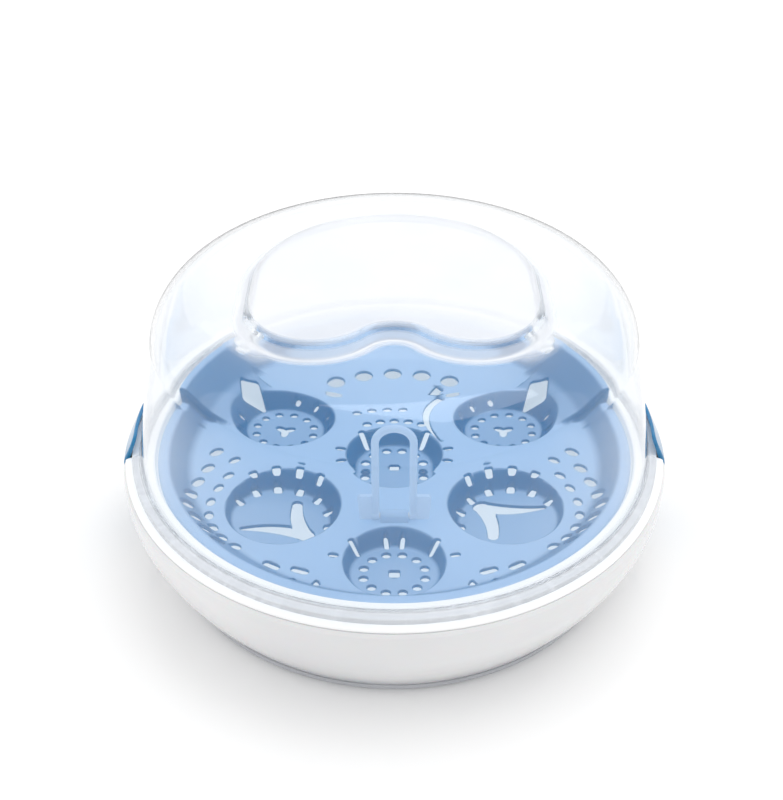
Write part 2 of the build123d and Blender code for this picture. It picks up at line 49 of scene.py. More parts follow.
def rounded(corners, closed=True, step=9.0):
    """Points along a path of (r, z, radius) corners, each corner turned by an arc."""
    out = []
    count = len(corners)
    for i, (x, y, radius) in enumerate(corners):
        here = np.array((x, y), float)
        if radius <= 0 or (not closed and i in (0, count - 1)):
            out.append(here)
            continue
        before = np.array(corners[i - 1][:2], float) - here
        after = np.array(corners[(i + 1) % count][:2], float) - here
        room = 0.49 * min(np.linalg.norm(before), np.linalg.norm(after))
        before /= np.linalg.norm(before)
        after /= np.linalg.norm(after)
        half = math.acos(max(-1.0, min(1.0, float(before @ after)))) / 2
        reach = radius / math.tan(half)
        if reach > room and radius < 20:
            reach = room
            radius = reach * math.tan(half)
        centre = here + (before + after) / np.linalg.norm(before + after) * radius / math.sin(half)
        start = here + before * reach - centre
        end = here + after * reach - centre
        a = math.atan2(start[1], start[0])
        b = math.atan2(end[1], end[0])
        turn = (b - a + math.pi) % (2 * math.pi) - math.pi
        parts = max(2, int(abs(math.degrees(turn)) / step) + 1)
        for k in range(parts + 1):
            t = a + turn * k / parts
            out.append(centre + radius * np.array((math.cos(t), math.sin(t))))
    return np.array(out)


def bezier(a, b, c, count):
    t = np.linspace(0, 1, count)[:, None]
    a, b, c = (np.array(p, float) for p in (a, b, c))
    return (1 - t) ** 2 * a + 2 * t * (1 - t) * b + t ** 2 * c


def placed(name, data):
    """An object made from its data and put in the scene."""
    thing = bpy.data.objects.new(name, data)
    bpy.context.scene.collection.objects.link(thing)
    return thing


def build(name, verts, faces, body, material, sharp=50.0, stands_for=()):
    """Makes one piece from vertices in millimetres and gives it to a body."""
    mesh = bpy.data.meshes.new(name)
    mesh.from_pydata((np.asarray(verts, float) * MM).tolist(), [], [list(map(int, f)) for f in faces])
    bm = bmesh.new()
    bm.from_mesh(mesh)
    bmesh.ops.remove_doubles(bm, verts=bm.verts, dist=2e-6)
    bmesh.ops.recalc_face_normals(bm, faces=bm.faces)
    bm.to_mesh(mesh)
    bm.free()
    mesh.shade_smooth()
    if sharp:
        mesh.set_sharp_from_angle(angle=math.radians(sharp))
    mesh.materials.append(material)
    piece = placed(name, mesh)
    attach(piece, body)
    if stands_for:
        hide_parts(*stands_for)
    return piece


def grid_faces(rows, columns, wrap_rows, wrap_columns, offset=0):
    """Quads of a grid numbered row by row."""
    i = np.arange(rows if wrap_rows else rows - 1)
    j = np.arange(columns if wrap_columns else columns - 1)
    i, j = np.meshgrid(i, j, indexing="ij")
    i2 = (i + 1) % rows
    j2 = (j + 1) % columns
    quad = np.stack([i * columns + j, i * columns + j2, i2 * columns + j2, i2 * columns + j], -1)
    return (quad.reshape(-1, 4) + offset).tolist()


def turn_columns(count, edges):
    """Angles round the circle in degrees, with extra ones close together at each edge."""
    base = np.arange(count) * 360.0 / count
    extra = []
    for edge in edges:
        base = base[np.abs((base - edge + 180) % 360 - 180) > 0.45]
        extra += [(edge + d) % 360 for d in (-0.3, -0.22, -0.14, 0.0, 0.14, 0.22, 0.3)]
    return np.sort(np.concatenate([base, extra]))


def cut_weight(angles, half):
    """1 inside the two side notches, 0 outside, with a soft step at their edges."""
    away = np.minimum(np.abs((angles + 180) % 360 - 180), np.abs(angles % 360 - 180))
    t = np.clip((half + 0.24 - away) / 0.48, 0, 1)
    return t * t * (3 - 2 * t)


def lathe(profile, angles, other=None, weight=None):
    """Rows of points along a profile, columns round the axis; other is the profile where weight is 1."""
    a = np.radians(angles)
    r = np.repeat(profile[:, 0][:, None], len(a), 1)
    z = np.repeat(profile[:, 1][:, None], len(a), 1)
    if other is not None:
        r = r + (other[:, 0][:, None] - r) * weight[None, :]
        z = z + (other[:, 1][:, None] - z) * weight[None, :]
    return np.stack([r * np.cos(a), r * np.sin(a), z], -1).reshape(-1, 3)


# ---- materials
NOISE_LOW, NOISE_HIGH = 0.3, 0.7        # noise values that the ends of a spread or ramp stand for


class Nodes:
    """A short way to write a node tree."""

    def __init__(self, name):
        self.material = bpy.data.materials.new(name)
        self.material.use_nodes = True
        self.tree = self.material.node_tree
        self.tree.nodes.clear()
        self.out = self.tree.nodes.new("ShaderNodeOutputMaterial")

    def add(self, kind, **values):
        """A node with its settings and inputs; a space in an input's name is written as an underscore."""
        node = self.tree.nodes.new("ShaderNode" + kind)
        for key, value in values.items():
            if hasattr(node, key):
                setattr(node, key, value)
            else:
                self.put(node.inputs[key.replace("_", " ")], value)
        return node

    def put(self, socket, value):
        if isinstance(value, bpy.types.NodeSocket):
            self.tree.links.new(value, socket)
        elif isinstance(value, tuple) and len(value) == 3 and socket.type == "RGBA":
            socket.default_value = (*value, 1.0)
        else:
            socket.default_value = value

    def noise(self, scale, detail=3.0, rough=0.5):
        place = self.add("TexCoord").outputs["Object"]
        return self.add("TexNoise", Vector=place, Scale=scale, Detail=detail, Roughness=rough).outputs["Fac"]

    def spread(self, source, low, high):
        return self.add("MapRange", Value=source, From_Min=NOISE_LOW, From_Max=NOISE_HIGH,
                        To_Min=low, To_Max=high).outputs["Result"]

    def ramp(self, source, low, high):
        node = self.add("ValToRGB", Fac=source)
        for element, at, colour in zip(node.color_ramp.elements, (NOISE_LOW, NOISE_HIGH), (low, high)):
            element.position = at
            element.color = (*colour, 1)
        return node.outputs["Color"]

    def bump(self, height, strength, distance):
        return self.add("Bump", Strength=strength, Distance=distance, Height=height).outputs["Normal"]

    def maths(self, operation, *values, **settings):
        """The result of an operation on numbers or other nodes' outputs."""
        node = self.add("Math", operation=operation, **settings)
        for socket, value in zip(node.inputs, values):
            self.put(socket, value)
        return node.outputs[0]

    def blend(self, share, a, b):
        """Colour a turning into colour b as share goes from 0 to 1."""
        node = self.add("Mix", data_type="RGBA", blend_type="MIX")
        for socket, value in zip((node.inputs[0], node.inputs[6], node.inputs[7]), (share, a, b)):
            self.put(socket, value)
        return node.outputs[2]

    def mixed(self, share, a, b):
        """Shader a turning into shader b as share goes from 0 to 1."""
        node = self.add("MixShader")
        for socket, value in zip(node.inputs, (share, a, b)):
            self.put(socket, value)
        return node.outputs[0]

    def passing(self, scattered):
        """1 for rays on their way to a lamp, and the share given for light scattered off another surface."""
        path = self.add("LightPath").outputs
        return self.maths("MULTIPLY_ADD", path["Is Diffuse Ray"], scattered, path["Is Shadow Ray"],
                          use_clamp=True)

    def finish(self, shader):
        self.tree.links.new(shader, self.out.inputs["Surface"])
        return self.material


def moulded(name, low, high, rough_low, rough_high, coat=0.0, **more):
    """Moulded plastic: slow colour drift, uneven gloss and a faint ripple of the tool surface."""
    wave = 0.00012
    m = Nodes(name)
    slow = m.noise(14.0, 2.0)
    fine = m.noise(420.0, 4.0, 0.6)
    rough = m.spread(m.noise(60.0, 4.0, 0.6), rough_low, rough_high)
    ripple = m.maths("ADD", m.noise(24.0, 2.0), m.spread(fine, 0.0, 0.08))
    shader = m.add("BsdfPrincipled", Base_Color=m.ramp(slow, low, high), Roughness=rough,
                   Normal=m.bump(ripple, 0.35, wave), Coat_Weight=coat, Coat_Roughness=0.06, **more)
    return m.finish(shader.outputs["BSDF"])


white_gloss = moulded("white_gloss", (0.73, 0.73, 0.742), (0.79, 0.79, 0.797), 0.10, 0.17, coat=0.5,
                      Subsurface_Weight=0.12, Subsurface_Scale=0.004)
# the bowl is the same white plastic as the shell; this copy is lighter, painted light that makes up for the
# shade it lies in under the tray
bowl_white_lit = moulded("bowl_white_lit", (0.91, 0.915, 0.92), (0.94, 0.945, 0.95), 0.12, 0.20, coat=0.3)
foot_grey = moulded("foot_grey", (0.44, 0.45, 0.48), (0.50, 0.51, 0.54), 0.42, 0.58)
clip_blue = moulded("clip_blue", (0.006, 0.16, 0.36), (0.012, 0.21, 0.43), 0.14, 0.24, coat=0.4)
pin_natural = moulded("pin_natural", (0.66, 0.67, 0.69), (0.74, 0.75, 0.76), 0.3, 0.45)


def tray_plastic(name, face, glowing):
    """Light blue plastic that glows where light passes through it, and lets most light on to the bowl; its
    deep attribute paints shade into the colour.
    """
    # darker blues for painted shade: recesses, steep walls and opening edges, the edges partly thick plastic
    # seen edge-on
    painted_shade_face = (0.004, 0.13, 0.33), (0.010, 0.16, 0.38)
    painted_shade_glow = (0.006, 0.24, 0.50), (0.012, 0.28, 0.55)
    m = Nodes(name)
    slow = m.noise(18.0, 2.0)
    rough = m.spread(m.noise(75.0, 4.0, 0.6), 0.15, 0.27)
    normal = m.bump(m.noise(160.0, 3.0), 0.25, 0.0001)
    # the deep attribute is painted shade, turning face and glow towards the darker blues
    deep = m.add("Attribute", attribute_name="deep").outputs["Fac"]
    light_face = m.ramp(slow, face, tuple(c + 0.04 for c in face))
    light_glow = m.ramp(slow, glowing, tuple(c + 0.02 for c in glowing))
    skin = m.add("BsdfPrincipled", Base_Color=m.blend(deep, light_face, m.ramp(slow, *painted_shade_face)),
                 Roughness=rough, Normal=normal, IOR=1.5)
    glow = m.add("BsdfTranslucent", Color=m.blend(deep, light_glow, m.ramp(slow, *painted_shade_glow)))
    body = m.mixed(0.42, skin.outputs[0], glow.outputs[0])
    through = m.add("BsdfTransparent", Color=(0.93, 0.97, 0.99))
    return m.finish(m.mixed(m.passing(0.85), body, through.outputs[0]))


def lid_plastic():
    """Clear plastic with a slight milky haze, frosted where the frost attribute says."""
    m = Nodes("lid_clear")
    frost = m.add("Attribute", attribute_name="frost").outputs["Fac"]
    rough = m.spread(m.noise(40.0, 3.0), 0.012, 0.035)
    clear_tint = m.ramp(m.noise(9.0, 1.0), (0.955, 0.97, 0.985), (0.975, 0.985, 1.0))
    clear = m.add("BsdfPrincipled", Base_Color=clear_tint, Roughness=rough, Transmission_Weight=1.0,
                  IOR=1.49, Normal=m.bump(m.noise(16.0, 2.0), 0.2, 0.00012))
    haze_tint = m.ramp(m.noise(22.0, 2.0), (0.76, 0.78, 0.82), (0.82, 0.83, 0.86))
    haze = m.add("BsdfPrincipled", Base_Color=haze_tint, Roughness=0.32,
                 Normal=m.bump(m.noise(900.0, 2.0), 0.3, 0.00008))
    share = m.maths("MULTIPLY_ADD", frost, 0.6, m.spread(m.noise(7.0, 2.0), 0.0, 0.02))
    body = m.mixed(share, clear.outputs["BSDF"], haze.outputs["BSDF"])
    through = m.add("BsdfTransparent", Color=(0.93, 0.95, 0.97))
    return m.finish(m.mixed(m.passing(1.0), body, through.outputs[0]))


tray_blue = tray_plastic("tray_blue", (0.36, 0.54, 0.79), (0.42, 0.68, 0.93))
handle_blue = tray_plastic("handle_blue", (0.50, 0.66, 0.90), (0.62, 0.80, 0.97))
lid_clear = lid_plastic()

# ---- base: foot ring, outer shell, water bowl
TURNS = 480
SHELL_WALL = 2.2
FLOOR_UNDER, FLOOR_TOP = 4.0, 6.4       # the base shell's floor
NOTCH_HALF = 8.4                        # degrees that the base is cut back either side of a clip's middle
# how far out the base reaches beside a clip, by height
POCKET_Z = (0, 16.6, 17.0, 20.0, 26.0, 28.4, 34.0, 42.0, 50.0, 57.0, 64.0)
POCKET_R = (150, 150, 129.4, 130.4, 130.4, 132.8, 134.5, 136.0, 136.4, 135.4, 135.4)
POCKET_FOOT = 16.8


def notch_columns(count, half):
    """Angles round the circle, and how far each one lies inside the two side notches."""
    turns = turn_columns(count, [half, -half, 180 - half, 180 + half])
    return turns, cut_weight(turns, half)


def make_foot_ring():
    profile = rounded([
        (111, 0.8, 0.4), (112, 0, 0.8), (119.4, 0, 1.4), (121, 1.8, 1.2), (121, 4, 0.3),
        (117, 4, 0), (117, 5.2, 0.2), (114, 5.2, 0.2), (114, 4, 0), (111, 4, 0.4)])
    turns = turn_columns(TURNS, [])
    build("foot_ring_skin", lathe(profile, turns), grid_faces(len(profile), len(turns), True, True),
          "base", foot_grey, stands_for=["foot_ring"])


def make_base_shell(turns, weight):
    outer = bezier((120.3, FLOOR_UNDER), (141.3, 34.7), (140.0, 52.0), 60)
    lip = rounded([(140, 52, 0), (140, 56.6, 2.4), (139.0, 58.4, 0.5), (137.6, 58.4, 0.4), (137.6, 52, 0)],
                  closed=False, step=7)
    inner = bezier((137.6, 52.0), (138.6, 35.6), (117.6, FLOOR_TOP), 60)
    bowl_ring = [(66.2, FLOOR_TOP, 0.5), (66.2, 12.8, 0.5), (63.4, 12.8, 0.5), (63.4, FLOOR_TOP, 0.5)]
    floor_in = rounded([(117.6, FLOOR_TOP, 0)] + bowl_ring + [(0.0, FLOOR_TOP, 0)], closed=False)
    floor_out = np.array([
        (0.0, FLOOR_UNDER), (30, FLOOR_UNDER), (30.6, 4.5), (33.4, 4.5), (34, FLOOR_UNDER),
        (114, FLOOR_UNDER), (114, 5.2), (117, 5.2), (117, FLOOR_UNDER), (120.0, FLOOR_UNDER)])
    shell = np.concatenate([outer, lip[1:], inner[1:], floor_in[1:], floor_out])
    row = np.arange(len(shell))
    lip_end = len(outer) + len(lip) - 1
    lip_inside = 8                      # last rows of the lip that face the axis
    pocket = np.interp(shell[:, 1], POCKET_Z, POCKET_R)
    limit = np.where(row < lip_end - lip_inside, pocket, pocket - SHELL_WALL)
    beside_clip = (row < lip_end + len(inner) - 1) & (shell[:, 1] > POCKET_FOOT)
    notched = shell.copy()
    notched[:, 0] = np.where(beside_clip, np.minimum(shell[:, 0], limit), shell[:, 0])
    build("base_shell_skin", lathe(shell, turns, notched, weight),
          grid_faces(len(shell), len(turns), False, True),
          "base", white_gloss, stands_for=["base_shell"])


def make_water_bowl(turns, weight):
    bowl = rounded([
        (0, 15, 0), (30, 15, 0), (105, 15, 9), (116.4, 56.2, 0.6), (122.6, 56.2, 0.8), (123.0, 61.8, 0.5),
        (123.8, 62.6, 0.6), (126.6, 62.6, 0.6), (127.4, 61.8, 0.5), (127.7, 60.2, 0.4), (138.0, 60.2, 0.5),
        (138.7, 59.6, 0.4), (138.7, 58.9, 0.3), (138.0, 58.4, 0.3), (125.2, 58.4, 0), (125.0, 54.0, 0),
        (118.2, 54.0, 0), (107.1, 12.8, 10), (30, 12.8, 0), (0, 12.8, 0)], closed=False, step=6)
    notched = bowl.copy()
    notched[:, 0] = np.where(bowl[:, 1] > 57, np.minimum(bowl[:, 0], POCKET_R[-1]), bowl[:, 0])
    build("water_bowl_skin", lathe(bowl, turns, notched, weight),
          grid_faces(len(bowl), len(turns), False, True),
          "base", bowl_white_lit, stands_for=["water_bowl"])


def extruded(name, outline, low, high, place, body, material, bevel=0.5, stands_for=()):
    """A flat outline given depth between low and high; place turns (u, v, depth) into x, y, z."""
    count = len(outline)
    verts = [place(u, v, low) for u, v in outline] + [place(u, v, high) for u, v in outline]
    faces = [list(range(count)), list(range(count, 2 * count))]
    faces += [[i, (i + 1) % count, count + (i + 1) % count, count + i] for i in range(count)]
    piece = build(name, verts, faces, body, material, sharp=35, stands_for=stands_for)
    soften = piece.modifiers.new("edges", "BEVEL")
    soften.width = bevel * MM
    soften.segments = 3
    soften.limit_method = "ANGLE"
    soften.angle_limit = math.radians(35)
    return piece


AXIS_R, AXIS_Z = 134.4, 22.0            # the clips' pivots
SIDES = ((-1, "left"), (1, "right"))


def make_lugs():
    """Two lugs on the base hold each clip's pin."""
    lug = rounded([(128.2, 16.5, 1), (AXIS_R, 18.8, 3.4), (137.7, 21.6, 2.6), (136.0, 25.0, 2),
                   (131.2, 25.4, 1.5)])
    half = 1.9
    for side, word in SIDES:
        for y, end in ((-12.4, "front"), (12.4, "rear")):
            extruded(f"clip_lug_{word}_{end}", lug, y - half, y + half, lambda u, v, d: (side * u, d, v),
                     "base", white_gloss, 0.35)


make_foot_ring()
base_turns, base_weight = notch_columns(TURNS, NOTCH_HALF)
make_base_shell(base_turns, base_weight)
make_water_bowl(base_turns, base_weight)
make_lugs()

# ---- clips
CLIP_HALF = 7.5                         # degrees round the base
CORNER_CUT = 2.2                        # degrees that a plate's corners are rounded over
RIDGE_Z = 37.4                          # finger ridge across the plate


def clip_profile():
    """Closed outline of the clip plate; the first rows are the outer face from the bottom up."""
    face = bezier((135.8, 28.4), (140.5, 40.5), (140.66, 52.0), 26)
    bend = bezier((140.66, 52.0), (140.6, 56.6), (138.9, 59.6), 10)[1:]
    lean = np.linspace((138.9, 59.6), (134.1, 69.4), 9)[1:]
    tip = rounded([(134.1, 69.4, 0), (133.3, 70.9, 0.9), (131.9, 69.6, 0.6), (132.2, 68.9, 0)],
                  closed=False, step=12)[1:]
    back = np.linspace((132.2, 68.9), (136.0, 59.8), 8)[1:]
    under = bezier((136.0, 59.8), (137.2, 57.0), (137.35, 52.0), 8)[1:]
    inner = bezier((137.35, 52.0), (137.3, 42.0), (133.6, 28.4), 22)[1:]
    foot = np.array([(134.2, 27.8), (135.2, 27.8)])
    return np.concatenate([face, bend, lean, tip, back, under, inner, foot]), len(face)


def clip_plate(side, word):
    """One plate, with rounded edges all round and a ridge for the finger."""
    base, face_rows = clip_profile()
    middle_r = np.interp(base[:, 1], (28, 40, 52, 59.6, 69.6), (134.8, 138.2, 139.0, 137.6, 132.9))
    middle = np.column_stack([middle_r, base[:, 1]])
    columns = np.unique(np.round(np.concatenate([
        np.linspace(-CLIP_HALF, CLIP_HALF, 61),
        [s * (CLIP_HALF - d) for s in (-1, 1) for d in (0.0, 0.03, 0.09, 0.18, 0.3, 0.45)]]), 4))
    verts = []
    for angle in columns:
        inset = CLIP_HALF - abs(angle)
        fullness = math.sqrt(max(0.0, 1 - (1 - min(1.0, inset / 0.5)) ** 2))
        spot = middle + (base - middle) * (0.45 + 0.55 * fullness)
        near = max(0.0, 1 - inset / CORNER_CUT)
        drop = 5.0 * (1 - math.sqrt(max(0.0, 1 - near ** 2)))
        high = np.clip((spot[:, 1] - 60) / 10, 0, 1)
        spot[:, 1] -= drop * high
        spot[:, 0] += drop * high * 0.5
        low = np.clip((36 - spot[:, 1]) / 8, 0, 1)
        spot[:, 1] += 0.55 * drop * low
        spot[:, 0] += 0.16 * drop * low
        ridge = np.zeros(len(spot))
        fade = np.clip((6.2 - abs(angle)) / 0.7, 0, 1)
        z = base[:face_rows, 1]
        ridge[:face_rows] = 1.35 * np.exp(-((z - RIDGE_Z) / 1.5) ** 2) * fade * fade * (3 - 2 * fade)
        r = spot[:, 0] + ridge
        a = math.radians(angle)
        verts += [(side * x * math.cos(a), x * math.sin(a), y) for x, y in zip(r, spot[:, 1])]
    rows, count = len(columns), len(base)
    faces = grid_faces(rows, count, False, True)
    faces += [list(range(count)), list(range((rows - 1) * count, rows * count))]
    return build(f"clip_{word}_plate", verts, faces, f"clip_{word}", clip_blue, sharp=40,
                 stands_for=[f"clip_{word}"])


def make_clips():
    knuckle = [(AXIS_R + 3.2 * math.cos(math.radians(t)), AXIS_Z + 3.2 * math.sin(math.radians(t)))
               for t in range(100, 405, 12)]
    knuckle += [(136.9, 26.6), (136.2, 29.0), (134.1, 29.4), (133.4, 27.4)]
    for side, word in SIDES:
        clip_plate(side, word)
        extruded(f"clip_{word}_knuckle", knuckle, -9.8, 9.8, lambda u, v, d: (side * u, d, v),
                 f"clip_{word}", clip_blue, 0.35)


make_clips()

# ---- flat-plan meshes: one triangulation, lifted to an upper and a lower surface


def inside(points, outline):
    """Which points lie inside a closed outline."""
    x, y = points[:, 0], points[:, 1]
    low, high = outline.min(0), outline.max(0)
    near = (x >= low[0]) & (x <= high[0]) & (y >= low[1]) & (y <= high[1])
    found = np.zeros(len(points), bool)
    if not near.any():
        return found
    px, py = x[near], y[near]
    ax, ay = outline[:, 0], outline[:, 1]
    bx, by = np.roll(ax, -1), np.roll(ay, -1)
    cross = (ay[None] > py[:, None]) != (by[None] > py[:, None])
    with np.errstate(divide="ignore", invalid="ignore"):
        at = (bx - ax)[None] * (py[:, None] - ay[None]) / (by - ay)[None] + ax[None]
    found[near] = (np.sum(cross & (px[:, None] < at), 1) % 2) == 1
    return found


def hex_points(radius, pitch):
    """A triangular lattice of points inside a circle."""
    rows = int(2 * radius / (pitch * 0.866)) + 2
    out = []
    for j in range(rows):
        y = -radius + j * pitch * 0.866
        x = np.arange(-radius + (j % 2) * pitch / 2, radius, pitch)
        out.append(np.column_stack([x, np.full(len(x), y)]))
    points = np.concatenate(out)
    return points[np.hypot(points[:, 0], points[:, 1]) < radius]


def in_any(points, outlines):
    """Which points lie inside any of the outlines."""
    found = np.zeros(len(points), bool)
    for outline in outlines:
        found |= inside(points, outline)
    return found


def nearest_to(targets):
    """A function that gives each point's distance to the closest of targets."""
    tree = KDTree(len(targets))
    for i, p in enumerate(targets):
        tree.insert((p[0], p[1], 0), i)
    tree.balance()
    return lambda points: np.array([tree.find((p[0], p[1], 0))[2] for p in points])


def sampled(outline):
    """Four points along every side of a closed outline."""
    ahead = np.roll(outline, -1, 0)
    return np.concatenate([outline * (1 - t) + ahead * t for t in (0.0, 0.25, 0.5, 0.75)])


def triangulate(loops, free, is_hole):
    """Points and triangles in the plane; loops are closed outlines that edges must follow."""
    points = []
    edges = []
    for loop in loops:
        first = len(points)
        points += [Vector((float(p[0]), float(p[1]))) for p in loop]
        edges += [(first + i, first + (i + 1) % len(loop)) for i in range(len(loop))]
    points += [Vector((float(p[0]), float(p[1]))) for p in free]
    verts, _, faces, _, _, _ = delaunay_2d_cdt(points, edges, [], 0, 1e-5, False)
    flat = np.array([(v.x, v.y) for v in verts])
    faces = np.array([f for f in faces if len(f) == 3])
    faces = faces[~is_hole(flat[faces].mean(1))]
    used, faces = np.unique(faces, return_inverse=True)
    return flat[used], faces.reshape(-1, 3)


def open_edges(faces):
    """Edges that belong to one triangle only, in the direction that triangle runs."""
    pairs = np.concatenate([faces[:, [0, 1]], faces[:, [1, 2]], faces[:, [2, 0]]])
    key = np.sort(pairs, 1)
    code = key[:, 0] * (key.max() + 1) + key[:, 1]
    _, index, counts = np.unique(code, return_index=True, return_counts=True)
    return pairs[index[counts == 1]]


def smooth_min(a, b, k):
    h = np.clip(0.5 + 0.5 * (b - a) / k, 0, 1)
    return b + (a - b) * h - k * h * (1 - h)


def smooth_max(a, b, k):
    return -smooth_min(-a, -b, k)


def ring(radius, degrees):
    a = np.radians(degrees)
    return np.column_stack([radius * np.cos(a), radius * np.sin(a)])


# ---- tray
LAND = 50.0                             # top of the tray between the cups
CENTRE = (0.0, -4.0)
REAR_CUP = (61.0, 30.0)
SIDE_CUP = (57.0, -44.5)
FRONT_CUP = (0.0, -85.5)
TRAY_EDGE = 119.8                       # where the plan mesh ends and the rim strip starts
CUP_DEPTH = 11.0
CUP_FLOOR = LAND - CUP_DEPTH
CORNER_SLOT = (80.5, 53.5)
# distance from the side cup's centre and angle round it of each oval hole outside the cup
OUTER_ARC = ((57.5, 40), (50.0, 52.3), (47.2, 66), (45.4, 80.5),
             (44.8, 96), (44.5, 110.6), (44.5, 125), (44.5, 139))
INNER_ARC = ((45.7, 35.6), (37.4, 49), (35.2, 65.6), (34.8, 84),
             (34.8, 101), (34.8, 117.5), (34.8, 132.5), (34.8, 147.5))
# place, floor height, floor radius, top radius, tilt about X and about Y in degrees
CUPS = [
    (CENTRE, CUP_FLOOR, 21.0, 25.5, 0, 0),
    ((-REAR_CUP[0], REAR_CUP[1]), CUP_FLOOR, 22.0, 28.5, 0, 0),
    (REAR_CUP, CUP_FLOOR, 22.0, 28.5, 0, 0),
    ((-SIDE_CUP[0], SIDE_CUP[1]), CUP_FLOOR + 2.5, 25.0, 29.5, -4.0, 5.0),
    (SIDE_CUP, CUP_FLOOR + 2.5, 25.0, 29.5, -4.0, -5.0),
    (FRONT_CUP, CUP_FLOOR + 4.5, 21.5, 26.0, -7.0, 0),
]
CORNERS = ((12.0, 41.5), (138.5, 168.0))    # degrees round the axis that each raised corner covers
SIDE_SLOPE = 0.8                            # degrees over which a raised corner rises at its ends
# radii of the rows of points round the ramp and the raised corners
RAMP_ROWS = (92, 95, 98, 101, 102.5, 104, 105.5, 107, 108.5, 110, 111.5, 113,
             114.3, 115.3, 116.1, 116.8, 117.5, 118.4)


def around(centre, radius, degrees):
    a = math.radians(degrees)
    return (centre[0] + radius * math.cos(a), centre[1] + radius * math.sin(a))


def spun(outline, place, degrees=0.0):
    """An outline turned about its own origin, then moved to its place."""
    a = math.radians(degrees)
    turn = np.array(((math.cos(a), math.sin(a)), (-math.sin(a), math.cos(a))))
    return np.asarray(outline, float) @ turn + np.array(place, float)


def oval(a, b, count=22):
    t = np.arange(count) * 2 * math.pi / count
    return np.column_stack([a * np.cos(t), b * np.sin(t)])


def four_sided(low, high, length, radius, step):
    """Rounded outline, low wide at the bottom and high wide at the top."""
    h = length / 2
    corners = ((-low / 2, -h), (low / 2, -h), (high / 2, h), (-high / 2, h))
    return rounded([(x, y, radius) for x, y in corners], step=step)


def slot_shape(length, width):
    return four_sided(length, length, width, width / 2 * 0.999, 22)


def rectangle(width, depth, radius):
    return four_sided(width, width, depth, radius, 30)


def through(t, a, b, c):
    """Parabola from a to c that passes b half way."""
    return a * (1 - t) * (1 - 2 * t) + 4 * b * t * (1 - t) + c * t * (2 * t - 1)


def held_in(point, limit):
    """A plan point moved towards the axis if it is further out than limit."""
    keep = min(1.0, limit / math.hypot(*point))
    return (point[0] * keep, point[1] * keep)


def bent_opening(centre, towards, spread):
    """A short blunt arm and a long tapering one from a rounded corner, as overlapping outlines."""
    corner = around(centre, 17.0, towards)
    root = 4.6
    shapes = [spun(oval(root, root, 28), corner)]
    for swing, arm, tip_radius in ((-spread, 25.0, 2.7), (spread, 31.0, 1.3)):
        reach = towards + 180 + swing
        end = around(corner, arm, reach)
        middle = around(corner, arm * 0.5, reach - swing * 0.22)
        sides = []
        for turn in (90, -90):
            a = np.array(around(corner, root, reach + turn))
            b = np.array(around(middle, 3.5, reach + turn))
            c = np.array(around(end, tip_radius, reach + turn))
            t = np.linspace(0, 1, 15)[:, None]
            sides.append(through(t, a, b, c))
        tip = [around(end, tip_radius, reach + t) for t in (60, 30, 0, -30, -60)]
        shapes.append(np.concatenate([sides[0], tip, sides[1][::-1]]))
    return shapes


